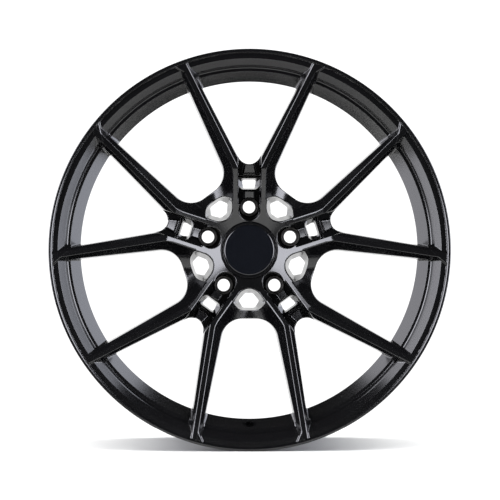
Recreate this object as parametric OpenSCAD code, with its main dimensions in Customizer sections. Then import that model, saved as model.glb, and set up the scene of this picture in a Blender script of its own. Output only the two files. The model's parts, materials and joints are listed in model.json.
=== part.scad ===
// Ten-arm forged wheel rim, five forked spokes, with its centre cap, lug seats and spigot ring.
// Millimetres. The axle lies along Y, the street side faces -Y, +Z is up.
// The origin is the centre of the mounting face that meets the vehicle's hub.

/* [Tyre seat] */
// Diameter of the bead seats
seat_d = 487.4; // [484:0.1:491]
// Width between the two flange faces
rim_width = 215.9; // [210:0.1:222]
// Height of a flange above its bead seat
flange_height = 17.3; // [16:0.1:18]
// Thickness of a flange along the axle
flange_width = 12.55; // [12:0.05:13.5]
// Depth of the drop well below the bead seats
well_depth = 16.7; // [16:0.1:18]
// Thickness of the barrel wall
barrel_wall = 3.8; // [3.4:0.1:4.5]
// Distance of the mounting face outboard of the rim's middle
wheel_offset = 35; // [33:0.5:37]

/* [Hub] */
// Diameter of the mounting pad
pad_d = 152; // [146:1:158]
// Diameter of the hub body, where the spokes start
hub_d = 194; // [192:1:196]
// Diameter of the centre bore
bore_d = 73.1; // [72:0.1:74]
// Diameter of the circle of lug holes
lug_circle_d = 114.3; // [112:0.1:115]
// Diameter of a lug hole
lug_hole_d = 16.5; // [14:0.1:17]
// Depth of the hub face below the lip, at the cap's edge
hub_face_depth = 50; // [48:0.5:52]

/* [Spokes] */
// Height along a fork where its two arms part
kink_y = 110.3; // [109:0.1:112]
// Depth of the fork's face below the lip where the arms part
kink_depth = 22; // [21:0.5:24]
// Half the width of the slot along the root of a fork
slot_half = 15.2; // [14.5:0.1:15.8]
// Half the width across the two ridges beside the slot
ridge_half = 21.2; // [20.5:0.1:22]
// Lean of an arm away from its fork's middle, in degrees
arm_lean = 26.9; // [26.5:0.1:27.2]
// Width of the flat facet along the top of an arm
facet_w = 6.6; // [6:0.1:7.5]
// Slope of the facets beside it, in degrees
bevel_tilt = 55; // [50:1:60]

/* [Cap and fittings] */
// Diameter of the centre cap
cap_d = 74.3; // [73.6:0.1:74.6]
// Diameter of the disc set into the cap
badge_d = 65.6; // [64:0.1:66]
// Diameter of the bore that the cap's legs grip
clip_bore_d = 66; // [65:0.1:67]
// Bore of the spigot ring
spigot_bore_d = 67.1; // [66:0.1:69]
// Length of the spigot ring
spigot_length = 10; // [8:0.5:12]
// Diameter of the valve hole
valve_hole_d = 11.3; // [11.3:0.1:12]
// Diameter of the flat round the valve hole
valve_flat_d = 18.6; // [17:0.1:19]

/* [Hidden] */
$fn = 96;
forks = 5;
fork_step = 360 / forks;
paint = [0.05, 0.05, 0.06];
cap_black = [0.04, 0.04, 0.05];
badge_blue = [0.07, 0.08, 0.10];
bush_steel = [0.12, 0.12, 0.13];

// Derived sizes of the rim. Depths are measured inboard from the street-side lip,
// and cutters open to the street start at open_front.
width = rim_width + 2 * flange_width;
lip_z = width / 2 - wheel_offset;
seat_r = seat_d / 2;
lip_r = seat_r + flange_height;
well_r = seat_r - well_depth;
leg_drop = 3.2;
well_in_r = well_r - barrel_wall;
leg_r = seat_r - leg_drop;
leg_in_r = leg_r - barrel_wall;
hub_r = hub_d / 2;
pad_r = pad_d / 2;
lug_r = lug_circle_d / 2;
cap_r = cap_d / 2;
far = 300;
open_front = -20;

// Faces of the hub and spokes
face_slope = (hub_face_depth - kink_depth) / (kink_y - cap_r);
arm_rise = 0.145;
root_reach = 60;
arm_reach = 170;
web_depth = 56;
pocket_depth = 64;
bridge_depth = 58;
arm_back_root = 68;
hub_edge_back = 74;

// Cap pocket in the hub face
cap_gap = 0.3;
cap_seat_depth = 57;
clip_end_depth = 68;
bush_depth = 61;
bush_r = 12.6;
bush_end_depth = 79;
seat_cone_r = 10.8;
seat_cone_depth = 4.8;

function z_at(depth) = lip_z - depth;
function arc(cx, cy, r, from, to, n) =
    [for (i = [0:n]) let (a = from + (to - from) * i / n) [cx + r * cos(a), cy + r * sin(a)]];
function mirrored(points) = [for (i = [len(points) - 1:-1:0]) [-points[i][0], points[i][1]]];

// Stands the wheel's own axis along Y with its street side at -Y
module upright() {
    rotate([90, 0, 0]) children();
}

// Turns a shape to fork number i, counted clockwise from the top as seen from the street
module at_fork(i) {
    rotate([0, 0, -fork_step * i]) children();
}

// Half space on the side of the plane through p that its normal n points to
module beyond(p, n) {
    translate(p)
        rotate([0, acos(n[2] / norm(n)), atan2(n[1], n[0])])
            translate([-far, -far, 0])
                cube([2 * far, 2 * far, 2 * far]);
}

module prism(points, deep, shallow) {
    translate([0, 0, z_at(deep)])
        linear_extrude(deep - shallow)
            polygon(points);
}

// Inside face of the barrel, from the lip to the inboard flange, as [radius, depth]
inner_face = [
    [lip_r - 4, 0],
    [lip_r - 6.2, 0.8],
    [lip_r - 7, 3.2],
    [lip_r - 12.2, 3.8],
    [lip_r - 20, 11.8],
    [lip_r - 21.8, 14],
    [seat_r - 6.8, 33],
    [seat_r - 8.4, 36],
    [seat_r - 10.8, 37.6],
    [well_in_r + 1, 57],
    [well_in_r, 60],
    [well_in_r, 74],
    [leg_in_r, 108],
    [leg_in_r, width - 38],
    [seat_r - 5.5, width - 16],
    [lip_r - 15, width - 4],
    [lip_r - 5, width]
];

// Tyre side of the front half of the barrel
function flange_face(sign, start) = [
    [lip_r - 2, start + sign * 0.6],
    [lip_r, start + sign * 3],
    [lip_r, start + sign * 6.2],
    [lip_r - 1.4, start + sign * 8.2],
    [lip_r - 4.5, start + sign * 9.6],
    [seat_r + 8, start + sign * 12],
    [seat_r + 3, start + sign * flange_width],
    [seat_r, start + sign * (flange_width + 2.4)],
    [seat_r - 1.7, start + sign * 34],
    [seat_r - 0.6, start + sign * 36.5],
    [seat_r - 0.6, start + sign * 38.5]
];

function reversed(points) = [for (i = [len(points) - 1:-1:0]) points[i]];

outer_face = concat(
    flange_face(1, 0),
    [[leg_r, 41.5], [well_r, 60], [well_r, 72], [leg_r, 104], [leg_r, width - 42]],
    reversed(flange_face(-1, width))
);

module revolved(points) {
    rotate_extrude($fn = 180)
        polygon([for (p = points) [p[0], z_at(p[1])]]);
}

// Valve hole at the bottom of the wheel, square to the side of the drop well
valve_tilt = 35.8;
valve_seat = [seat_r - 8.4, 39.2];
valve_drill = 60;
valve_flat_reach = 22;

module valve_cut() {
    translate([0, -valve_seat[0], z_at(valve_seat[1])])
        rotate([90 + valve_tilt, 0, 0]) {
            cylinder(h = valve_drill, d = valve_hole_d, center = true);
            translate([0, 0, -valve_flat_reach])
                cylinder(h = valve_flat_reach, d = valve_flat_d);
        }
}

module barrel() {
    color(paint)
        upright()
            difference() {
                revolved(concat(outer_face, reversed(inner_face)));
                valve_cut();
            }
}

// Window between two forks, drawn on its own middle line
window_floor = 89.9;
window_flat = 8.7;
window_fillet = 27.7;
window_lean = 11.2;
window_side = let (a = 90 - window_lean)
    [window_flat + window_fillet * sin(a), window_floor + window_fillet * (1 - cos(a))];
window_reach = 170;
window_half = concat(
    arc(window_flat, window_floor + window_fillet, window_fillet, -90, -window_lean, 8),
    [window_side + window_reach * [sin(window_lean), cos(window_lean)]]
);
window_outline = concat(mirrored(window_half), window_half);

// Window between the two arms of one fork
crotch_r = 16.2;
crotch_y = 129.7;
crotch_lean = 27.35;
crotch_reach = 150;
crotch_side = [crotch_r * cos(crotch_lean), crotch_y - crotch_r * sin(crotch_lean)];
crotch_half = concat(
    arc(0, crotch_y, crotch_r, -90, -crotch_lean, 6),
    [crotch_side + crotch_reach * [sin(crotch_lean), cos(crotch_lean)]]
);
crotch_outline = concat(mirrored(crotch_half), crotch_half);

// Hole near the cap between two forks, rounded on the cap's side
hex_front_half = [[11.5, 81.1], [20.7, 69.8], [15, 57.9], [8.6, 52.9], [0, 51.5]];
hex_back_half = [[7, 75.8], [12.6, 67], [10.4, 60.6], [5.6, 57.7], [0, 57.2]];
hex_front = concat(hex_front_half, mirrored(hex_front_half));
hex_back = concat(hex_back_half, mirrored(hex_back_half));
hex_step_depth = 66;

// Hollow between the ridges of two neighbouring forks, outboard of the hex hole
valley_half = [[0, 76], [15.6, 62], [24.6, 72.5], [47.6, 109.4], [0, 140]];
valley = concat(valley_half, mirrored(valley_half));

// Slot along a fork's root, with the lug pocket at its inner end
pocket_r = 14.1;
pocket_y = 53;
slot_shoulder_y = pocket_y + 8;
slot_end_y = 105;
slot_side = [[slot_half, slot_shoulder_y], [slot_half, slot_end_y]];
slot_sides = concat(slot_side, mirrored(slot_side));
slot_outline = concat(arc(0, pocket_y, pocket_r, -180, 0, 10), slot_sides);

// Small window between the lug pocket and the bridge of a fork
port_front_half = [[9, 77.6], [slot_half, 82.5], [slot_half, 95]];
port_front = concat(port_front_half, mirrored(port_front_half));
port_back = [[-8.6, 81.5], [8.6, 81.5], [8.6, 92.2], [-8.6, 92.2]];
port_depth = 74;

// Everything behind the dished face of the hub, out to a given distance past the kink
module face_cone(reach) {
    inward = 20;
    revolved([
        [cap_r - inward, hub_face_depth + inward * face_slope],
        [kink_y + reach, kink_depth - reach * face_slope],
        [kink_y + reach, width],
        [cap_r - inward, width]
    ]);
}

// Body of the hub before its pockets are cut, solid from the street face to the mounting pad
module hub_blank() {
    pocket_lip_r = cap_r + cap_gap;
    face_at_edge = hub_face_depth - (hub_r - cap_r) * face_slope;
    revolved([
        [pocket_lip_r, hub_face_depth - cap_gap * face_slope],
        [hub_r, face_at_edge],
        [hub_r, hub_edge_back],
        [pad_r, lip_z],
        [bore_d / 2, lip_z],
        [bore_d / 2, clip_end_depth + 2],
        [clip_bore_d / 2, clip_end_depth],
        [clip_bore_d / 2, cap_seat_depth],
        [pocket_lip_r, cap_seat_depth]
    ]);
}

// Blank with the hollows between the forks, and the roots of the arms standing in them
module hub_solid() {
    difference() {
        hub_blank();
        for (i = [0:forks - 1])
            at_fork(i + 0.5)
                prism(valley, web_depth, open_front);
    }
    intersection() {
        translate([0, 0, z_at(hub_edge_back - 2)])
            cylinder(h = hub_edge_back, r = hub_r, $fn = 180);
        face_cone(root_reach);
        for (i = [0:forks - 1])
            at_fork(i)
                arm_pair();
    }
}

// Rib from the lug boss to the small window
rib_plan = [[-6.1, 66], [6.1, 66], [6.1, 78], [-6.1, 78]];
rib_sink = 14;

module pocket_rib() {
    intersection() {
        prism(rib_plan, pocket_depth + 2, 0);
        translate([0, 0, -rib_sink])
            face_cone(root_reach);
    }
}

module hub() {
    color(paint)
        upright()
            difference() {
                union() {
                    difference() {
                        hub_solid();
                        for (i = [0:forks - 1])
                            at_fork(i)
                                prism(slot_outline, pocket_depth, open_front);
                    }
                    for (i = [0:forks - 1])
                        at_fork(i)
                            pocket_rib();
                }
                for (i = [0:forks - 1]) {
                    at_fork(i + 0.5) {
                        prism(window_outline, lip_z + 20, open_front);
                        prism(hex_front, hex_step_depth, open_front);
                        prism(hex_back, lip_z + 20, hex_step_depth - 1);
                    }
                    at_fork(i) {
                        prism(port_front, port_depth, open_front);
                        prism(port_back, lip_z + 20, port_depth - 1);
                        translate([0, lug_r, z_at(bush_end_depth)])
                            cylinder(h = bush_end_depth, r = bush_r);
                        translate([0, lug_r, -1])
                            cylinder(h = lip_z, d = lug_hole_d);
                    }
                }
            }
}

// Direction along the left arm, and the way square to it towards the outside of the fork
arm_dir = [-sin(arm_lean), cos(arm_lean), 0];
arm_out = [-cos(arm_lean), -sin(arm_lean), 0];
arm_up = [0, 0, 1];
arm_shift = 1.6;
arm_mid_foot = [-(slot_half + ridge_half) / 2 - arm_shift, kink_y, z_at(kink_depth)];
arm_top = arm_dir + arm_rise * arm_up;
facet_normal = cross(arm_top, arm_out);
outer_bevel = cos(bevel_tilt) * arm_up + sin(bevel_tilt) * arm_out
    - cos(bevel_tilt) * arm_rise * arm_dir;
inner_bevel = cos(bevel_tilt) * arm_up - sin(bevel_tilt) * arm_out
    - cos(bevel_tilt) * arm_rise * arm_dir;

// One arm of a fork, before its ends are trimmed to the hub and the barrel
arm_length = 160;
arm_end = arm_mid_foot + arm_length * arm_dir;
arm_end_in = arm_end - 16 * arm_out;
arm_end_out = arm_end + 22 * arm_out;
arm_plan = [
    [1 - slot_half, 64],
    [1 - slot_half, kink_y + 2],
    [arm_end_in[0], arm_end_in[1]],
    [arm_end_out[0], arm_end_out[1]],
    [-54, 118],
    [-40, 70]
];

module arm() {
    difference() {
        prism(arm_plan, hub_edge_back - 1, open_front);
        beyond(arm_mid_foot, facet_normal[2] > 0 ? facet_normal : -facet_normal);
        beyond(arm_mid_foot + facet_w / 2 * arm_out, outer_bevel);
        beyond(arm_mid_foot - facet_w / 2 * arm_out, inner_bevel);
    }
}

module arm_pair() {
    arm();
    mirror([1, 0, 0])
        arm();
}

// Root of a fork: the ridges with the bridge that ties the arms, and the lower flank beside them
root_flare = [ridge_half + 4.7, kink_y + 6];
root_half = [[0, 94], [ridge_half, 90], [ridge_half, kink_y - 5], root_flare, [0, kink_y + 10]];
root_plan = concat(root_half, mirrored(root_half));
flank_in = ridge_half - 1;
flank_half = [[flank_in, 80], [44, 80], [44, 118], [flank_in + 9, 118], [flank_in, kink_y - 6]];
flank_plan = concat(flank_half, mirrored(flank_half));
root_end_depth = arm_back_root + 10;

// Arms and root of a fork, lowered to the dished face near the hub
module fork_body() {
    intersection() {
        union() {
            arm_pair();
            prism(root_plan, root_end_depth, 0);
        }
        face_cone(arm_reach);
    }
    prism(flank_plan, root_end_depth, web_depth);
}

// Hollow between the two ridges, over the bridge
bridge_hollow = [[-slot_half, 80], [slot_half, 80], [slot_half, 126], [-slot_half, 126]];

// Block on the bridge, between the small window and the fork's own window
block_plan = [[-8.4, 99.5], [8.4, 99.5], [7.2, 111], [-7.2, 111]];
block_sink = 16;

module bridge_block() {
    intersection() {
        prism(block_plan, bridge_depth + 2, 0);
        translate([0, 0, -block_sink])
            face_cone(root_reach);
    }
}

// Room that a fork may fill: out to the barrel's inside face, and no further back than its own back
lip_edge = inner_face[1];
step_corner = inner_face[8];
slope_foot = inner_face[9];
arm_foot = step_corner + 0.6 * (slope_foot - step_corner);

module spoke_room() {
    revolved(concat(
        [[hub_r, open_front], [lip_edge[0], open_front]],
        [for (i = [1:8]) inner_face[i]],
        [arm_foot, [arm_foot[0] - 12, arm_foot[1] - 3], [hub_r + 14, arm_back_root], [hub_r, hub_edge_back]]
    ));
}

module fork() {
    difference() {
        intersection() {
            union() {
                difference() {
                    fork_body();
                    prism(bridge_hollow, bridge_depth, open_front);
                }
                bridge_block();
            }
            spoke_room();
        }
        prism(crotch_outline, width, open_front);
        for (side = [-0.5, 0.5])
            at_fork(side)
                prism(window_outline, width, open_front);
    }
}

module spoke(i) {
    color(paint)
        upright()
            at_fork(i - 1)
                fork();
}

// Conical seat pressed into the hub round a lug hole
module lug_seat(i) {
    color(bush_steel)
        upright()
            at_fork(i - 1)
                translate([0, lug_r, 0])
                    difference() {
                        translate([0, 0, z_at(bush_end_depth)])
                            cylinder(h = bush_end_depth - bush_depth, r = bush_r);
                        cylinder(h = lip_z, d = lug_hole_d);
                        translate([0, 0, z_at(bush_depth) - seat_cone_depth])
                            cylinder(h = seat_cone_depth + 0.4, r1 = lug_hole_d / 2 - 0.01, r2 = seat_cone_r);
                    }
}

// Centre cap: a dished ring with a socket for the badge and eight spring legs
cap_front_depth = 48.6;
cap_floor_depth = 54.4;
badge_thickness = 1.6;
pad_thickness = 0.4;
badge_front_depth = 49.6;
socket_depth = badge_front_depth + badge_thickness + pad_thickness;
leg_out_r = clip_bore_d / 2 - cap_gap;
clip_leg_r = leg_out_r - 2.2;
wire_d = 1.6;
wire_depth = 64.5;
leg_slots = 8;
leg_slot_w = 3.2;

module cap_body() {
    color(cap_black)
        upright()
            difference() {
                revolved([
                    [0, socket_depth],
                    [badge_d / 2 + 0.1, socket_depth],
                    [badge_d / 2 + 0.1, cap_front_depth + 0.6],
                    [badge_d / 2 + 0.9, cap_front_depth],
                    [cap_r - 2.6, cap_front_depth + 0.3],
                    [cap_r, cap_front_depth + 2.4],
                    [cap_r, cap_seat_depth - 0.05],
                    [leg_out_r, cap_seat_depth - 0.05],
                    [leg_out_r, clip_end_depth - 2],
                    [leg_out_r - 0.8, clip_end_depth - 1],
                    [clip_leg_r, clip_end_depth - 1],
                    [clip_leg_r, cap_floor_depth],
                    [0, cap_floor_depth]
                ]);
                for (i = [0:leg_slots - 1])
                    rotate([0, 0, (i + 0.5) * 360 / leg_slots])
                        translate([0, -leg_slot_w / 2, z_at(clip_end_depth)])
                            cube([cap_r, leg_slot_w, clip_end_depth - cap_seat_depth - 0.4]);
                translate([0, 0, z_at(wire_depth)])
                    rotate_extrude($fn = 96)
                        translate([clip_leg_r, 0])
                            square([1.2, wire_d], center = true);
            }
}

module cap_badge() {
    color(badge_blue)
        upright()
            translate([0, 0, z_at(badge_front_depth + badge_thickness)])
                cylinder(h = badge_thickness, d = badge_d);
}

module cap_adhesive() {
    color([0.75, 0.75, 0.72])
        upright()
            translate([0, 0, z_at(socket_depth)])
                cylinder(h = pad_thickness, d = badge_d - 3);
}

// Open wire ring that spreads the cap's legs
module cap_spring_ring() {
    wire_path_r = clip_leg_r - wire_d / 2 + 0.55;
    color("silver")
        upright()
            translate([0, 0, z_at(wire_depth)])
                rotate([0, 0, 96])
                    rotate_extrude(angle = 348, $fn = 96)
                        translate([wire_path_r, 0])
                            circle(d = wire_d, $fn = 24);
}

module spigot_ring() {
    color([0.55, 0.56, 0.58])
        upright()
            difference() {
                cylinder(h = spigot_length, d = bore_d);
                translate([0, 0, -1])
                    cylinder(h = spigot_length + 2, d = spigot_bore_d);
            }
}

barrel();
hub();
for (i = [1:forks]) spoke(i);
for (i = [1:forks]) lug_seat(i);
cap_body();
cap_badge();
cap_adhesive();
cap_spring_ring();
spigot_ring();
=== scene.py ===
"""A satin black forged wheel rim standing on a pale floor.

Shapes are in millimetres until to_row turns them into the frame's metres. x and y lie in the wheel's plane,
with y along a fork, r is the distance from the axle, and d is the depth behind the street-side lip. A fork
is a pair of arms with a slot between their inner ends. A distance field is negative in the metal.
"""

import json
import math

import bmesh
import bpy
import numpy as np
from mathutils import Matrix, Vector


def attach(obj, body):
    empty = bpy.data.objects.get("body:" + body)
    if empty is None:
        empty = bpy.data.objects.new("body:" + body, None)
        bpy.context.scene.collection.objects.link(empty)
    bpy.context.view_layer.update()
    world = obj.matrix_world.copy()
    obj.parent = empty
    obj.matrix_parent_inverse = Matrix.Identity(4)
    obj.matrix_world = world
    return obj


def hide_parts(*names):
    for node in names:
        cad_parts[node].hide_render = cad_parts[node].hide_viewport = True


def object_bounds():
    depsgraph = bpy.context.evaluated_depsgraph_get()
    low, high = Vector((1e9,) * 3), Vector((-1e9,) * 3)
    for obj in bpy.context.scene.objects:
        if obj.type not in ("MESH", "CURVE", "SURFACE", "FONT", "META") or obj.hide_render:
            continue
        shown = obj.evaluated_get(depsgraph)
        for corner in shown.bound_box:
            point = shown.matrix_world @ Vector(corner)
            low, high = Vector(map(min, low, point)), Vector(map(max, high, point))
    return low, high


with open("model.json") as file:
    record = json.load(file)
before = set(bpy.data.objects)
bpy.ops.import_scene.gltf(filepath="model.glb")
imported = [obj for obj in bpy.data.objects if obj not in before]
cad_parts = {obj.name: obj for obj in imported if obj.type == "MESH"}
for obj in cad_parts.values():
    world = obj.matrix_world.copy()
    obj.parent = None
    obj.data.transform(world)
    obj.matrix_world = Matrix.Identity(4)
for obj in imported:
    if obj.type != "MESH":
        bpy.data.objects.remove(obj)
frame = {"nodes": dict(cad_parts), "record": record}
cad_low, cad_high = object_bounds()
mounts = {mount["name"]: mount["dims"] for mount in frame["record"]["mounts"]}

# ---- sizes -------------------------------------------------------------------------------------
MM = 0.001
LIP_D = -cad_low[1] / MM  # from the lip back to the mounting face
WIDTH = round((cad_high[1] - cad_low[1]) / MM, 1)

# barrel: radii on the tyre's side, and on the inside where the name says IN
LIP_R = round(cad_high[0] / MM, 1)
SEAT_R = 243.7
WELL_R = 227.0
WELL_IN_R = 223.2
LEG_R = 240.5
LEG_IN_R = 236.7

# there is one fork at each lug
FORKS = mounts["lug_holes"]["count"]
LUG_R = mounts["lug_holes"]["pcd_mm"] / 2
BORE_R = mounts["lug_holes"]["hole_r_mm"]
NUT_POCKET_R = 12.6
NUT_POCKET_D = 79.0
SEAT_D = 61.0
HALF_STEP = math.pi / FORKS

# the dish, a shallow cone from the cap out to the kink where the arms' ridges begin
CAP_R = 37.15
FACE_D = 50.0
KINK_D = 22.0
KINK_Y = 110.3
SLOPE = (FACE_D - KINK_D) / (KINK_Y - CAP_R)

# arms: a flat ridge FACET wide that leans away from the fork's middle and rises towards the rim
SLOT_HALF = 15.2
RIDGE_HALF = 21.2
FOOT_X = (SLOT_HALF + RIDGE_HALF) / 2 + 1.6
LEAN = math.radians(26.9)
RISE = 0.145
FACET = 6.6
BEVEL = math.radians(55)
WEB_D = 56.0
WEB_FILLET = 12.0
ARM_END_R = 256.0

# the gusset that widens an arm's outer end
FLARE_AT = (82.0, 228.6)
FLARE_OUT = (0.515, -0.857)
FLARE_BEVEL = math.radians(63)
FLARE_D = 16.0
FLARE_START_R = 232.0

# slot between the arms' inner ends, with a rib across it and a block at its outer end. A part is sunk by
# its depth below the dish, measured square to it.
SLOT_START_Y = 61.0
SLOT_END_Y = 126.0
SLOT_ROUND_Y = 53.0
SLOT_ROUND_R = 14.1
SLOT_STEP_Y = (96.2, 98.4)
SLOT_FLOOR_D = (64.0, 58.0)
RIB_HALF = 6.1
RIB_Y = (62.0, 78.0)
RIB_SUNK = 13.076
BLOCK_HALF = 7.7
BLOCK_TAPER = 0.19
BLOCK_Y = (101.8, 122.0)
BLOCK_SUNK = 14.944

# windows between the forks, and crotches inside them: round inner ends whose sides open outwards. Draft
# narrows both towards the back.
WINDOW_END = (8.7, 117.6)
WINDOW_LEAN = math.radians(11.2)
WINDOW_R = 27.7
CROTCH_Y = 129.7
CROTCH_LEAN = math.radians(27.35)
CROTCH_R = 16.2
DRAFT = 0.055

# the cap's pocket in the hub, with the groove that its legs snap into
CAP_POCKET_R = 37.45
CAP_POCKET_D = 57.0
CAP_BORE_R = 33.0
CAP_GROOVE_R = 36.55
CAP_GROOVE_D = 69.0

# valve hole, in the frame's directions: the middle of its round flat, and its axis towards the tyre's side
VALVE_AT = (0, -51.7, -227.9)
VALVE_AXIS = (0, 0.585, -0.811)
VALVE_R = mounts["valve_hole"]["r_mm"]
VALVE_FLAT_R = 9.3
VALVE_REACH = 18.0


# ---- distance fields ---------------------------------------------------------------------------
def union(a, b, r):
    """The nearer of two solids, with a fillet of about r where they meet."""
    return np.maximum(r, np.minimum(a, b)) - np.hypot(np.maximum(r - a, 0), np.maximum(r - b, 0))


def overlap(a, b, r):
    """What two solids share, with the edge between them rounded to about r."""
    return np.minimum(-r, np.maximum(a, b)) + np.hypot(np.maximum(r + a, 0), np.maximum(r + b, 0))


def cut(a, b, r):
    """Solid a without solid b, with the edge of the cut rounded to about r."""
    return overlap(a, -b, r)


def teardrop(u, v, lean, r):
    """Distance to a slot end of radius r at the origin that opens upwards at an angle of lean."""
    along = u * math.sin(lean) + v * math.cos(lean)
    across = u * math.cos(lean) - v * math.sin(lean)
    below = np.where(u < 0, -v, np.hypot(u, v))
    return np.where(along > 0, np.maximum(across, -v), below) - r


def convex(points, x, y, r):
    """Distance to a convex outline, mirrored about x = 0. Points run from its low end to its high end."""
    x = np.abs(x)
    result = None
    for (x0, y0), (x1, y1) in zip(points, points[1:]):
        length = math.hypot(x1 - x0, y1 - y0)
        side = ((x - x0) * (y1 - y0) - (y - y0) * (x1 - x0)) / length
        result = side if result is None else overlap(result, side, r)
    return result


def funnel(front, back, x, y, d, start, end, r):
    """A hole whose outline changes from front at depth start to back at depth end."""
    s = np.clip((d - start) / (end - start), 0, 1)
    return convex(front, x, y, r) * (1 - s) + convex(back, x, y, r) * s


def distance_to(line, r, d):
    """Distance from points to an open polyline of (r, d)."""
    best = np.full(np.broadcast(r, d).shape, 1e9)
    for (r0, d0), (r1, d1) in zip(line, line[1:]):
        er, ed = r1 - r0, d1 - d0
        t = np.clip(((r - r0) * er + (d - d0) * ed) / max(er * er + ed * ed, 1e-9), 0, 1)
        best = np.minimum(best, np.hypot(r - r0 - t * er, d - d0 - t * ed))
    return best


def rounded(points, steps=5):
    """Turns corners (r, d, radius) of a closed outline into points (r, d, normal_r, normal_d) with every
    corner rounded. The solid lies on the left of the direction of travel, and normals point right."""
    out = []
    count = len(points)
    for i in range(count):
        corner = np.array(points[i][:2], float)
        a = np.array(points[i - 1][:2], float) - corner
        b = np.array(points[(i + 1) % count][:2], float) - corner
        length_a, length_b = np.hypot(*a), np.hypot(*b)
        a, b = a / length_a, b / length_b
        half = math.acos(max(-1.0, min(1.0, float(a @ b)))) / 2
        reach = min(points[i][2] / math.tan(max(half, 0.02)), length_a * 0.48, length_b * 0.48)
        n0 = np.array([-a[1], a[0]])
        n1 = np.array([b[1], -b[0]])
        if math.pi - 2 * half < 0.01 or reach <= 0:
            out += [(*corner, *n0), (*corner, *n1)]
            continue
        start, end = corner + a * reach, corner + b * reach
        radius = reach * math.tan(half)
        sign = 1.0 if a[0] * b[1] - a[1] * b[0] < 0 else -1.0
        centre = start - n0 * radius * sign
        for k in range(steps + 1):
            n = n0 * (1 - k / steps) + n1 * (k / steps)
            n = n / np.hypot(*n)
            out.append((*(centre + n * radius * sign), *n))
        out[-1] = (*end, *n1)
    return np.array(out)


# ---- barrel ------------------------------------------------------------------------------------
# Corners are (r, d, radius), from the lip backwards.
FRONT_WALL = [
    (LIP_R - 3, 0, 1.2),
    (LIP_R - 4.4, 0.6, 0.5),
    (LIP_R - 5, 3.2, 0.4),
    (LIP_R - 12.2, 3.8, 0.5),
    (LIP_R - 20, 11.8, 0.4),
    (LIP_R - 23, 19.2, 3.0),
    (LIP_R - 27.6, 19.9, 0.5),
    (WELL_IN_R - 1.6, 46.4, 1.5),
    (WELL_IN_R + 0.6, 74, 14.0),
    (LEG_IN_R, 108, 14.0),
]
BACK_WALL = [
    (LEG_IN_R, WIDTH - 38, 10.0),
    (SEAT_R - 5.5, WIDTH - 16, 6.0),
    (LIP_R - 15, WIDTH - 4, 4.0),
    (LIP_R - 5, WIDTH, 1.0),
]
WELL = [
    (LEG_R, 41.5, 2.0),
    (WELL_R, 60, 6.0),
    (WELL_R, 72, 14.0),
    (LEG_R, 104, 14.0),
    (LEG_R, WIDTH - 42, 2.0),
]


def flange(start, sign):
    """Tyre side of one flange, from the lip to the hump behind the bead seat."""
    rows = [
        (LIP_R - 0.1, 0.05, 1.1),
        (LIP_R, 3, 0.6),
        (LIP_R, 6.2, 1.5),
        (LIP_R - 1.4, 8.2, 1.2),
        (LIP_R - 4.5, 9.6, 1.2),
        (SEAT_R + 8, 12, 3.0),
        (SEAT_R + 3, 12.55, 2.0),
        (SEAT_R, 14.95, 3.0),
        (SEAT_R - 1.7, 34, 1.0),
        (SEAT_R - 0.6, 36.5, 0.8),
        (SEAT_R - 0.6, 38.5, 0.8),
    ]
    return [(r, start + sign * d, fillet) for r, d, fillet in rows]


BARREL = rounded(flange(0, 1) + WELL + flange(WIDTH, -1)[::-1] + (FRONT_WALL + BACK_WALL)[::-1])

BEYOND_LIP_R = 275.0
TABLE_STEP = 0.2
TABLE_R = np.arange(205, 266, TABLE_STEP)
TABLE_D = np.arange(-6, 96, TABLE_STEP)


def front_wall_table():
    """Signed distance to the front of the barrel's inside wall, on a fine grid of (r, d)."""
    outline = [(BEYOND_LIP_R, -1e-3, 0)] + FRONT_WALL + [(BEYOND_LIP_R, FRONT_WALL[-1][1], 0)]
    line = [(BEYOND_LIP_R, 0.0)]
    line += [tuple(p[:2]) for p in rounded(outline) if p[0] < BEYOND_LIP_R - 1]
    r, d = np.meshgrid(TABLE_R, TABLE_D, indexing="ij")
    away = distance_to(line, r, d)
    line_r, line_d = np.array(line).T
    order = np.argsort(line_d, kind="stable")
    inside = (r > np.interp(d, line_d[order], line_r[order])) & (d > 0)
    return np.where(inside, -away, away)


FRONT_WALL_TABLE = front_wall_table()


def barrel_field(r, d):
    """Distance to the barrel's inside wall, read from the table with linear interpolation."""
    i = np.clip((r - TABLE_R[0]) / TABLE_STEP, 0, len(TABLE_R) - 1.001)
    j = np.clip((d - TABLE_D[0]) / TABLE_STEP, 0, len(TABLE_D) - 1.001)
    i, j = np.broadcast_arrays(i, j)
    i0, j0 = i.astype(int), j.astype(int)
    fi, fj = i - i0, j - j0
    t = FRONT_WALL_TABLE
    low = t[i0, j0] * (1 - fj) + t[i0, j0 + 1] * fj
    high = t[i0 + 1, j0] * (1 - fj) + t[i0 + 1, j0 + 1] * fj
    return low * (1 - fi) + high * fi + np.maximum(TABLE_R[0] - r, 0)


# ---- hub and forks -----------------------------------------------------------------------------
# Depth of the back face at each r, then outlines from the axle outwards as (half width, distance).
BACK = np.array([[0, LIP_D], [76, LIP_D], [97, 74], [111, 68], [215.7, 46.2], [227.7, 49.2], [270, 60]])
VALLEY = [(0, 50.0), (4.5, 50.2), (8.2, 51.6), (11.2, 53.4), (60, 120.5)]
HEX_FRONT = [(0, 50.6), (4, 51), (11.2, 54.8), (21.2, 68.8), (14.6, 77.2), (7.8, 79.8), (0, 80)]
HEX_BACK = [(0, 56.8), (5.0, 56.8), (13.6, 67), (8, 76.3), (0, 76.3)]
HEX_DEPTHS = (52, 80)
PORT_FRONT = [(0, 80.2), (9.5, 80.2), (15.2, 84), (15.2, 95.6), (0, 95.6)]
PORT_BACK = [(0, 82.6), (7.6, 82.6), (7.6, 92.8), (0, 92.8)]
PORT_DEPTHS = (62, 80)
PORT_START_D = 60
PLATEAU_R = 70


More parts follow.
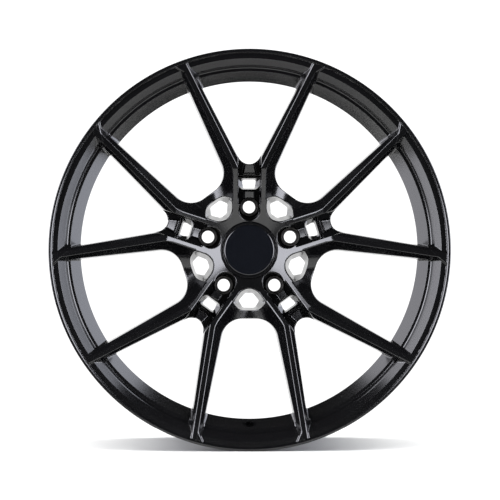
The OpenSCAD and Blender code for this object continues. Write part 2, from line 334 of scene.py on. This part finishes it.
def fold(x, y):
    """Folds the wheel's plane onto one mirror half of a fork. Returns x and y from the fork's middle line,
    and side and up from the middle line of the gap beside it, where side is negative."""
    x = np.abs(x)
    side = x * math.cos(HALF_STEP) - y * math.sin(HALF_STEP)
    up = x * math.sin(HALF_STEP) + y * math.cos(HALF_STEP)
    side = -np.abs(side)
    x = side * math.cos(HALF_STEP) + up * math.sin(HALF_STEP)
    y = -side * math.sin(HALF_STEP) + up * math.cos(HALF_STEP)
    return x, y, side, up


def add_rib_and_block(body, x, y, dish):
    """The rib across the slot, and the tapered block that fills its outer end."""
    rib = overlap(overlap(x - RIB_HALF, dish + RIB_SUNK, 0.8), np.maximum(y - RIB_Y[1], RIB_Y[0] - y), 0.8)
    body = union(body, rib, 1.2)
    block_side = x - (BLOCK_HALF - (y - BLOCK_Y[0]) * BLOCK_TAPER)
    block = overlap(overlap(block_side, dish + BLOCK_SUNK, 0.9), BLOCK_Y[0] - y, 0.9)
    return union(body, np.maximum(block, y - BLOCK_Y[1]), 2.6)


def cut_openings(body, x, y, side, up, d):
    """The hub's six-sided windows, the slots' small windows, the lug bores and the cap's pocket."""
    r = np.hypot(x, y)
    body = cut(body, funnel(HEX_FRONT, HEX_BACK, side, up, d, *HEX_DEPTHS, 2.0), 0.9)
    port = funnel(PORT_FRONT, PORT_BACK, x, y, d, *PORT_DEPTHS, 1.2)
    body = cut(body, np.maximum(port, PORT_START_D - d), 0.5)
    lug = np.hypot(x, y - LUG_R)
    body = cut(body, np.minimum(np.maximum(lug - NUT_POCKET_R, d - NUT_POCKET_D), lug - BORE_R), 0.5)
    pocket = np.minimum(np.maximum(r - CAP_POCKET_R, d - CAP_POCKET_D), r - CAP_BORE_R)
    return cut(body, np.minimum(pocket, np.maximum(r - CAP_GROOVE_R, CAP_GROOVE_D - d)), 0.4)


def forging(x, y, d):
    """Signed distance to the hub and arms."""
    x, y, side, up = fold(x, y)
    r = np.hypot(x, y)

    # top faces: the dish, and each arm's ridge
    face_d = FACE_D - (r - CAP_R) * SLOPE
    dish = (face_d - d) / math.hypot(1, SLOPE)
    along = (x - FOOT_X) * math.sin(LEAN) + (y - KINK_Y) * math.cos(LEAN)
    out = (x - FOOT_X) * math.cos(LEAN) - (y - KINK_Y) * math.sin(LEAN)
    ridge = KINK_D - RISE * along
    top = overlap(dish, (ridge - d) / math.hypot(1, RISE), 0.35)

    # flanks fall away from the ridge's outer and inner edges, and from the strip beside the slot
    steep, flat = math.tan(BEVEL), math.cos(BEVEL)
    bevel_out = (ridge + (out - FACET / 2) * steep - d) * flat
    bevel_in = (ridge - (out + FACET / 2) * steep - d) * flat
    strip = (face_d + (x - RIDGE_HALF) * steep - d) * flat
    flanks = overlap(union(bevel_out, strip, 1.6), bevel_in, 0.5)
    body = overlap(top, union(flanks, WEB_D - d, WEB_FILLET), np.interp(y, [100, 115], [0.9, 0.5]))
    plateau = overlap(dish, -convex(VALLEY, side, up, 1.5), 0.8)
    body = np.minimum(body, np.maximum(plateau, r - PLATEAU_R))

    bowl = np.hypot(x, y - SLOT_ROUND_Y) - SLOT_ROUND_R
    slot = union(bowl, np.maximum(np.maximum(x - SLOT_HALF, SLOT_START_Y - y), y - SLOT_END_Y), 2.5)
    body = cut(body, overlap(slot, d - np.interp(y, SLOT_STEP_Y, SLOT_FLOOR_D), 1.0), 0.8)
    body = add_rib_and_block(body, x, y, dish)

    draft = (d - FACE_D) * DRAFT
    window = teardrop(-side - WINDOW_END[0], up - WINDOW_END[1], WINDOW_LEAN, WINDOW_R) + draft
    body = cut(body, window, 1.1)
    crotch = teardrop(x, y - CROTCH_Y, CROTCH_LEAN, CROTCH_R) + draft
    body = cut(body, crotch, 1.1)

    away = (x - FLARE_AT[0]) * FLARE_OUT[0] + (y - FLARE_AT[1]) * FLARE_OUT[1]
    gusset = (ridge + away * math.tan(FLARE_BEVEL) - d) * math.cos(FLARE_BEVEL)
    gusset = overlap(overlap(top, gusset, 1.0), bevel_in, 0.9)
    body = union(body, np.maximum(np.maximum(gusset, d - FLARE_D), FLARE_START_R - r), 0.8)
    body = np.maximum(body, r - ARM_END_R)

    back_d = np.interp(r, BACK[:, 0], BACK[:, 1])
    body = overlap(body, (d - back_d) * 0.95, np.interp(r, [80, 110], [1.2, 4.5]))
    return cut_openings(body, x, y, side, up, d)


def whole(x, y, d):
    """The forging joined to the barrel's inside wall, with a fillet that grows with depth."""
    fillet = np.interp(d, [1.5, 7.0, 30.0], [0.25, 1.6, 3.0])
    return union(forging(x, y, d), barrel_field(np.hypot(x, y), d), fillet)


def gradient(field, p, step=0.22):
    g = np.empty_like(p)
    for k in range(3):
        offset = np.zeros(3)
        offset[k] = step
        ahead, behind = p + offset, p - offset
        g[:, k] = field(*ahead.T) - field(*behind.T)
    return g / (2 * step)


# ---- meshing -----------------------------------------------------------------------------------
CELL = 0.9
PLAIN_CELL = CELL * 2.4
EDGE_CELL = CELL / 3
# grid lines run along an arm from the axle out, across it, and in depth
ALONG = (24, 262)
PLAIN_ALONG = (134, 216)
ACROSS = (-74, 26)
DEPTH = (-2, 89)
KEPT_D = 88  # nothing of the forging lies deeper
CLEAR_OF_BARREL = 0.12


def grid_axis(*runs):
    """Joins runs of (start, end, step) into one rising list of grid lines."""
    parts = [np.linspace(a, b, max(2, round((b - a) / step) + 1))[:-1] for a, b, step in runs]
    return np.concatenate(parts + [[runs[-1][1]]])


def surface_net(values, axes):
    """Vertices and quads where values cross zero on a rectilinear grid: one vertex in each cell that the
    surface crosses, at the mean of its crossings, and one quad around each grid edge that it crosses."""
    cells = np.array(values.shape) - 1
    total = np.zeros((*cells, 3), np.float32)
    hits = np.zeros(tuple(cells), np.int16)
    inside = values < 0
    crossings = []
    for axis in range(3):
        low = [slice(None)] * 3
        high = [slice(None)] * 3
        low[axis], high[axis] = slice(None, -1), slice(1, None)
        low, high = tuple(low), tuple(high)
        at = np.argwhere(inside[low] != inside[high])
        before, after = values[low][tuple(at.T)], values[high][tuple(at.T)]
        point = np.stack([axes[k][at[:, k]] for k in range(3)], 1)
        share = before / (before - after)
        point[:, axis] += share * (axes[axis][at[:, axis] + 1] - axes[axis][at[:, axis]])
        u, w = (axis + 1) % 3, (axis + 2) % 3
        ring = []
        for du, dw in ((0, 0), (1, 0), (1, 1), (0, 1)):
            cell = at.copy()
            cell[:, u] -= du
            cell[:, w] -= dw
            ok = np.all((cell >= 0) & (cell < cells), 1)
            index = tuple(cell[ok].T)
            np.add.at(total, index, point[ok])
            np.add.at(hits, index, 1)
            ring.append(np.where(ok, np.ravel_multi_index(np.clip(cell, 0, cells - 1).T, cells), -1))
        quads = np.stack(ring, 1)
        quads = np.where((before < 0)[:, None], quads, quads[:, ::-1])
        crossings.append(quads[(quads >= 0).all(1)])
    used = hits.ravel() > 0
    number = np.cumsum(used) - 1
    points = total.reshape(-1, 3)[used] / hits.ravel()[used][:, None]
    return points.astype(float), number[np.concatenate(crossings)]


def settle(field, p, rounds, reach=0.5):
    """Moves points onto the field's zero surface, by at most reach in each round."""
    for _ in range(rounds):
        g = gradient(field, p)
        move = (field(*p.T) / np.maximum((g * g).sum(1), 0.05))[:, None] * g
        size = np.linalg.norm(move, axis=1, keepdims=True)
        p = p - move * np.minimum(1, reach / np.maximum(size, 1e-9))
    return p


# Normals of the two planes, through the axle, that bound one mirror half of a fork. They point out of it.
BOUNDS = (np.array([-1.0, 0, 0]), np.array([math.cos(HALF_STEP), -math.sin(HALF_STEP), 0]))


def near_bounds(p, distance):
    """For each bounding plane, which points lie within distance of it."""
    return [np.abs(p @ normal) < distance for normal in BOUNDS]


def flatten_to_bounds(vectors, near):
    """Takes away the part of each vector that is square to the planes its point lies on."""
    for normal, where in zip(BOUNDS, near):
        vectors[where] -= (vectors[where] @ normal)[:, None] * normal


def trimmed_half(p, quads):
    """Vertices and faces of a mesh, cut off square at the two bounding planes."""
    mesh = bmesh.new()
    for q in p:
        mesh.verts.new(q)
    mesh.verts.ensure_lookup_table()
    for q in quads:
        mesh.faces.new([mesh.verts[k] for k in q])
    for normal in BOUNDS:
        everything = mesh.verts[:] + mesh.edges[:] + mesh.faces[:]
        bmesh.ops.bisect_plane(
            mesh, geom=everything, dist=0.02, plane_co=(0, 0, 0), plane_no=normal, clear_outer=True
        )
    bmesh.ops.triangulate(mesh, faces=[f for f in mesh.faces if len(f.verts) > 4])
    loose = [q for q in mesh.verts if not q.link_faces]
    bmesh.ops.delete(mesh, geom=loose, context="VERTS")
    mesh.verts.index_update()
    p = np.array([q.co for q in mesh.verts], float)
    faces = [[q.index for q in f.verts] for f in mesh.faces]
    mesh.free()
    return p, faces


def half_fork():
    """One mirror half of a fork with its share of the hub: points, faces and normals. The grid is coarser
    over the plain middle of the arm, and finer over both edges of its ridge."""
    c, s = math.cos(LEAN), math.sin(LEAN)
    ridge_middle = FOOT_X * c - KINK_Y * s
    low, high = ridge_middle - FACET / 2, ridge_middle + FACET / 2
    inward, outward = 1, 1.6  # how far the fine cells reach from an edge
    axes = (
        grid_axis(
            (ALONG[0], PLAIN_ALONG[0], CELL),
            (*PLAIN_ALONG, PLAIN_CELL),
            (PLAIN_ALONG[1], ALONG[1], CELL),
        ),
        grid_axis(
            (ACROSS[0], low - outward, CELL),
            (low - outward, low + inward, EDGE_CELL),
            (low + inward, high - inward, CELL),
            (high - inward, high + outward, EDGE_CELL),
            (high + outward, ACROSS[1], CELL),
        ),
        grid_axis((*DEPTH, CELL)),
    )
    u, v, d = np.meshgrid(*axes, indexing="ij")
    net, quads = surface_net(whole(u * s + v * c, u * c - v * s, d), axes)
    p = np.stack([net[:, 0] * s + net[:, 1] * c, net[:, 0] * c - net[:, 1] * s, net[:, 2]], 1)

    # only faces that stand clear of the barrel's own surface, and that reach just past the two planes
    middle = p[quads].mean(1)
    clear = barrel_field(np.hypot(p[:, 0], p[:, 1]), p[:, 2])[quads].max(1) > CLEAR_OF_BARREL
    near_half = [middle @ normal < 2.5 * CELL for normal in BOUNDS]
    keep = clear & near_half[0] & near_half[1] & (middle[:, 2] < KEPT_D)
    p, faces = trimmed_half(p, quads[keep])

    near = near_bounds(p, 0.03)
    for _ in range(2):
        p = settle(whole, p, 2)
        flatten_to_bounds(p, near)
    normals = gradient(whole, p)
    flatten_to_bounds(normals, near)
    normals /= np.maximum(np.linalg.norm(normals, axis=1, keepdims=True), 1e-9)
    return p, faces, normals


def turned(p, angle):
    """Points or normals turned clockwise about the axle, in the wheel's plane."""
    c, s = math.cos(angle), math.sin(angle)
    return np.stack([p[:, 0] * c + p[:, 1] * s, -p[:, 0] * s + p[:, 1] * c, p[:, 2]], 1)


def to_row(p):
    """Points (x, y, d) in millimetres as points of the frame in metres."""
    return np.stack([p[:, 0], p[:, 2] - LIP_D, p[:, 1]], 1) * MM


def add_mesh(name, points, faces, normals, material):
    """A smooth mesh object from points in the frame's metres, with a normal of its own at each point."""
    data = bpy.data.meshes.new(name)
    data.from_pydata(points.tolist(), [], faces)
    data.update()
    data.shade_smooth()
    data.normals_split_custom_set_from_vertices(normals.tolist())
    data.materials.append(material)
    obj = bpy.data.objects.new(name, data)
    bpy.context.scene.collection.objects.link(obj)
    return obj


def wheel_face(name, material):
    """The hub and all the forks as one skin: half a fork, mirrored and turned, with its seams merged."""
    p, faces, normals = half_fork()
    points, shading, polygons = [], [], []
    start = 0
    for k in range(FORKS):
        for flip in (1.0, -1.0):
            mirror = np.array([flip, 1, 1])
            angle = 2 * HALF_STEP * k
            points.append(turned(p * mirror, angle))
            shading.append(turned(normals * mirror, angle))
            polygons += [[start + i for i in (f if flip > 0 else f[::-1])] for f in faces]
            start += len(p)
    points = np.concatenate(points)
    shading = np.concatenate(shading)

    on_seam = np.tile(np.any(near_bounds(p, 0.01), axis=0), 2 * FORKS)
    seam = np.nonzero(on_seam)[0]
    keys = np.round(points[seam] / 0.02).astype(np.int64)
    _, first, inverse = np.unique(keys, axis=0, return_index=True, return_inverse=True)
    merged = np.arange(len(points))
    merged[seam] = seam[first[inverse.ravel()]]
    used = np.unique(merged)
    number = np.zeros(len(points), int)
    number[used] = np.arange(len(used))
    final = number[merged]
    polygons = [[int(final[i]) for i in f] for f in polygons]
    polygons = [f for f in polygons if len(set(f)) == len(f)]
    return add_mesh(name, to_row(points[used]), polygons, shading[used][:, [0, 2, 1]], material)


def lathe(name, profile, material, segments=192, centre=(0, 0)):
    """Turns a closed profile of (r, d, normal_r, normal_d) about the axle, or about a line parallel to it."""
    count = len(profile)
    angles = np.arange(segments) * 2 * math.pi / segments
    ca, sa = np.cos(angles)[:, None], np.sin(angles)[:, None]
    r, d, nr, nd = profile.T
    x, y = r * sa + centre[0], r * ca + centre[1]
    p = np.stack([x, y, np.broadcast_to(d, x.shape)], 2).reshape(-1, 3)
    n = np.stack([nr * sa, np.broadcast_to(nd, x.shape), nr * ca], 2).reshape(-1, 3)
    faces = []
    for s in range(segments):
        a, b = s * count, ((s + 1) % segments) * count
        for i in range(count):
            j = (i + 1) % count
            on_axle = abs(r[i]) < 1e-6 and abs(r[j]) < 1e-6
            if on_axle or np.hypot(r[i] - r[j], d[i] - d[j]) < 1e-6:
                continue
            faces.append((b + i, b + j, a + j, a + i))
    return add_mesh(name, to_row(p), faces, n, material)


def valve_cutter():
    """A stepped rod, square to the barrel's sloping wall: the valve hole, and the flat in front of it."""
    steps = [
        (0.0, -VALVE_REACH),
        (VALVE_FLAT_R, -VALVE_REACH),
        (VALVE_FLAT_R, 0.0),
        (VALVE_R, 0.0),
        (VALVE_R, VALVE_REACH),
        (0.0, VALVE_REACH),
    ]
    sides = 64
    along = Vector(VALVE_AXIS).normalized()
    across = Vector((1, 0, 0))
    third = along.cross(across)
    mesh = bmesh.new()
    rings = []
    for r, t in steps:
        centre = Vector(VALVE_AT) + along * t
        ring = []
        for k in range(1 if r == 0 else sides):
            a = 2 * math.pi * k / sides
            ring.append(mesh.verts.new((centre + (across * math.cos(a) + third * math.sin(a)) * r) * MM))
        rings.append(ring)
    for low, high in zip(rings, rings[1:]):
        for k in range(sides):
            j = (k + 1) % sides
            corners = [low[k % len(low)], low[j % len(low)], high[j % len(high)], high[k % len(high)]]
            mesh.faces.new(list(dict.fromkeys(corners)))
    bmesh.ops.recalc_face_normals(mesh, faces=mesh.faces[:])
    rod = bpy.data.objects.new("valve_cutter", bpy.data.meshes.new("valve_cutter"))
    mesh.to_mesh(rod.data)
    mesh.free()
    bpy.context.scene.collection.objects.link(rod)
    return rod


def drill_valve_hole(barrel):
    rod = valve_cutter()
    drill = barrel.modifiers.new("valve", "BOOLEAN")
    drill.object = rod
    drill.solver = "EXACT"
    seen = bpy.context.evaluated_depsgraph_get()
    seen.update()
    drilled = bpy.data.meshes.new_from_object(barrel.evaluated_get(seen))
    barrel.modifiers.clear()
    barrel.data = drilled
    bpy.data.objects.remove(rod)


# ---- materials ---------------------------------------------------------------------------------
def shader(name, color, roughness, metallic=0.0):
    material = bpy.data.materials.new(name)
    material.use_nodes = True
    bsdf = material.node_tree.nodes["Principled BSDF"]
    bsdf.inputs["Base Color"].default_value = (*color, 1)
    bsdf.inputs["Roughness"].default_value = roughness
    bsdf.inputs["Metallic"].default_value = metallic
    return material


def noise(tree, where, scale, detail):
    node = tree.nodes.new("ShaderNodeTexNoise")
    node.inputs["Scale"].default_value = scale
    node.inputs["Detail"].default_value = detail
    tree.links.new(where.outputs["Object"], node.inputs["Vector"])
    return node


def grain(material, scale, depth, rough=None, tint=None):
    """Fine surface relief, with roughness and colour that drift slightly over the surface."""
    tree = material.node_tree
    bsdf = tree.nodes["Principled BSDF"]
    where = tree.nodes.new("ShaderNodeTexCoord")
    fine = noise(tree, where, scale, 3.0)
    bump = tree.nodes.new("ShaderNodeBump")
    bump.inputs["Strength"].default_value = 1.0
    bump.inputs["Distance"].default_value = depth
    tree.links.new(fine.outputs["Fac"], bump.inputs["Height"])
    tree.links.new(bump.outputs["Normal"], bsdf.inputs["Normal"])
    if rough or tint:
        broad = noise(tree, where, 14.0, 4.0)
    if rough:
        span = tree.nodes.new("ShaderNodeMapRange")
        span.inputs["To Min"].default_value = rough[0]
        span.inputs["To Max"].default_value = rough[1]
        tree.links.new(broad.outputs["Fac"], span.inputs["Value"])
        tree.links.new(span.outputs["Result"], bsdf.inputs["Roughness"])
    if tint:
        ramp = tree.nodes.new("ShaderNodeValToRGB")
        for element, position, color in zip(ramp.color_ramp.elements, (0.3, 0.7), tint):
            element.position = position
            element.color = (*color, 1)
        tree.links.new(broad.outputs["Fac"], ramp.inputs["Fac"])
        tree.links.new(ramp.outputs["Color"], bsdf.inputs["Base Color"])
    return material


paint = grain(
    shader("satin_black_paint", (0.0012, 0.0012, 0.0014), 0.18),
    scale=240, depth=6e-7, rough=(0.165, 0.195), tint=((0.001, 0.001, 0.0011), (0.0014, 0.0014, 0.0016)),
)
seat_metal = grain(
    shader("seat_steel", (0.035, 0.034, 0.032), 0.42, 0.85),
    scale=700, depth=2e-5, rough=(0.34, 0.5), tint=((0.028, 0.027, 0.026), (0.05, 0.047, 0.043)),
)
cap_paint = grain(
    shader("cap_plastic", (0.001, 0.001, 0.0012), 0.2), scale=300, depth=1e-6, rough=(0.18, 0.22)
)
badge_paint = grain(
    shader("badge_disc", (0.001, 0.0013, 0.0022), 0.2), scale=300, depth=5e-7, rough=(0.19, 0.22)
)
bare_ring = grain(
    shader("turned_aluminium", (0.6, 0.61, 0.62), 0.3, 1.0), scale=500, depth=1e-5, rough=(0.24, 0.38)
)
foam = grain(shader("foam_tape", (0.35, 0.35, 0.33), 0.8), scale=2500, depth=4e-5)
wire = grain(shader("spring_wire", (0.5, 0.5, 0.5), 0.3, 1.0), scale=900, depth=1e-5)
floor_paint = grain(shader("studio_floor", (0.32, 0.32, 0.312), 0.9), scale=60, depth=1e-5)

# ---- the wheel ---------------------------------------------------------------------------------
face = wheel_face("wheel_face", paint)
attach(face, "wheel")
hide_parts("hub", *[f"spoke_{i + 1}" for i in range(FORKS)])

barrel = lathe("wheel_barrel", BARREL, paint, 240)
drill_valve_hole(barrel)
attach(barrel, "wheel")
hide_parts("barrel")

# ---- lug seats, cap and ring -------------------------------------------------------------------
SEAT = rounded([
    (NUT_POCKET_R, NUT_POCKET_D, 0.2),
    (NUT_POCKET_R, SEAT_D, 0.9),
    (10.8, SEAT_D, 0.35),
    (BORE_R, 65.8, 0.5),
    (BORE_R, NUT_POCKET_D, 0.2),
])
for i in range(FORKS):
    angle = 2 * HALF_STEP * i
    middle = (LUG_R * math.sin(angle), LUG_R * math.cos(angle))
    seat = lathe(f"lug_seat_ring_{i + 1}", SEAT, seat_metal, 72, middle)
    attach(seat, "wheel")
    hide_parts(f"lug_seat_{i + 1}")

# the cap's profile, from the axle out along its back, round its skirt and rim, and back under the disc
CAP_SHELL = rounded([
    (0.0, 53.6, 0),
    (0.0, 54.3, 0),
    (30.6, 54.3, 0.2),
    (30.6, 66.9, 0.2),
    (32.0, 66.9, 0.2),
    (32.7, 66.0, 0.3),
    (32.7, 56.9, 0.2),
    (37.1, 56.9, 0.3),
    (37.1, 51.2, 0.5),
    (36.7, 48.8, 0.25),
    (34.4, 48.85, 0.15),
    (34.2, 50.6, 0.2),
    (32.9, 50.6, 0.2),
    (32.9, 53.6, 0.2),
])
cap = lathe("cap_shell", CAP_SHELL, cap_paint)
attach(cap, "cap")
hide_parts("cap_body")

CAP_DISC = rounded([
    (0, 51.2, 0),
    (32.75, 51.2, 0.2),
    (32.75, 50.0, 0.1),
    (32.3, 49.8, 0.05),
    (31.8, 49.62, 0.05),
    (0, 49.62, 0),
])
badge = lathe("cap_disc", CAP_DISC, badge_paint)
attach(badge, "cap")
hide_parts("cap_badge")

# pieces that keep their CAD shape
for node, material in (("spigot_ring", bare_ring), ("cap_adhesive", foam), ("cap_spring_ring", wire)):
    obj = frame["nodes"][node]
    obj.data.materials.clear()
    obj.data.materials.append(material)

# ---- stage, lights and camera, in metres -------------------------------------------------------
FLOOR_Z = cad_low[2]
FLOOR_HALF = 0.42
FLOOR_FRONT = -0.55
FLOOR_BACK = 0.5
# the back edge has a notch, so that the barrel's top doesn't mirror the floor behind the wheel
NOTCH = [(0.19, 0.335), (0, 0.28), (-0.19, 0.335)]


def add_floor():
    outline = [(-FLOOR_HALF, FLOOR_FRONT), (FLOOR_HALF, FLOOR_FRONT), (FLOOR_HALF, FLOOR_BACK)]
    outline += NOTCH
    outline.append((-FLOOR_HALF, FLOOR_BACK))
    faces = [(0, 1, 4), (1, 2, 3), (1, 3, 4), (0, 4, 5), (0, 5, 6)]
    data = bpy.data.meshes.new("studio_floor")
    data.from_pydata([(x, y, FLOOR_Z) for x, y in outline], [], faces)
    data.materials.append(floor_paint)
    obj = bpy.data.objects.new("studio_floor", data)
    bpy.context.scene.collection.objects.link(obj)
    return obj


def area_light(name, direction, height, distance, size, radiance, color=(1, 1, 1)):
    """A softbox that faces the wheel. Its direction is in degrees about the upright, to the right of the
    camera's side, and its height is above the axle."""
    data = bpy.data.lights.new(name, "AREA")
    data.shape = "RECTANGLE"
    data.size, data.size_y = size
    data.color = color
    data.energy = math.pi * size[0] * size[1] * radiance
    obj = bpy.data.objects.new(name, data)
    turn = math.radians(direction)
    at = Vector((distance * math.sin(turn), -distance * math.cos(turn), height))
    obj.location = at
    obj.rotation_euler = (-at).to_track_quat("-Z", "Y").to_euler()
    bpy.context.scene.collection.objects.link(obj)
    return obj


def white_world(seen=1.2, given=0.04):
    """A background that the camera sees as white, and that gives the wheel little light of its own."""
    world = bpy.data.worlds.new("studio")
    world.use_nodes = True
    tree = world.node_tree
    dim = tree.nodes["Background"]
    bright = tree.nodes.new("ShaderNodeBackground")
    for node, strength in ((dim, given), (bright, seen)):
        node.inputs["Color"].default_value = (1, 1, 1, 1)
        node.inputs["Strength"].default_value = strength
    ray = tree.nodes.new("ShaderNodeLightPath")
    pick = tree.nodes.new("ShaderNodeMixShader")
    tree.links.new(ray.outputs["Is Camera Ray"], pick.inputs["Fac"])
    tree.links.new(dim.outputs["Background"], pick.inputs[1])
    tree.links.new(bright.outputs["Background"], pick.inputs[2])
    tree.links.new(pick.outputs["Shader"], tree.nodes["World Output"].inputs["Surface"])
    return world


add_floor()

area_light("softbox_left", -51.5, 0.6, 3.2, (2.4, 2.4), 14, (0.91, 0.92, 1))
area_light("softbox_right", 51.5, 0.3, 3.2, (2.4, 2.0), 14, (0.91, 0.92, 1))
area_light("side_panel_left", -87, 0.4, 3.2, (1.3, 5.0), 6, (0.93, 0.93, 1))
area_light("side_panel_right", 87, 0.4, 3.2, (1.3, 5.0), 5.5, (0.86, 0.89, 1))
overhead = area_light("overhead", 180, 1.5, 0.02, (3.4, 2.6), 11.5)
overhead.visible_glossy = False  # it lights the floor, and the paint doesn't mirror it
area_light("rear_panel_left", -134, 0.38, 3.4, (1.9, 4.0), 2.4, (0.93, 0.93, 1))
area_light("rear_panel_right", 134, 0.38, 3.4, (1.9, 4.0), 2.6, (0.86, 0.89, 1))
area_light("backdrop", 180, 0.0, 3.2, (3.9, 3.9), 1.45)

bpy.context.scene.world = white_world()
bpy.context.scene.view_settings.view_transform = "Standard"

# a long lens, a little to the left of the axle and below it, that looks at the middle of the lip
CAMERA_AT = (-0.055, -2.9755, -0.012)
FOCAL_LENGTH = 160.7
SENSOR_WIDTH = 36
camera_data = bpy.data.cameras.new("camera")
camera_data.lens = FOCAL_LENGTH
camera_data.sensor_width = SENSOR_WIDTH
camera = bpy.data.objects.new("camera", camera_data)
camera.location = CAMERA_AT
lip_middle = Vector((0, -LIP_D * MM, 0))
camera.rotation_euler = (lip_middle - camera.location).to_track_quat("-Z", "Y").to_euler()
bpy.context.scene.collection.objects.link(camera)
bpy.context.scene.camera = camera
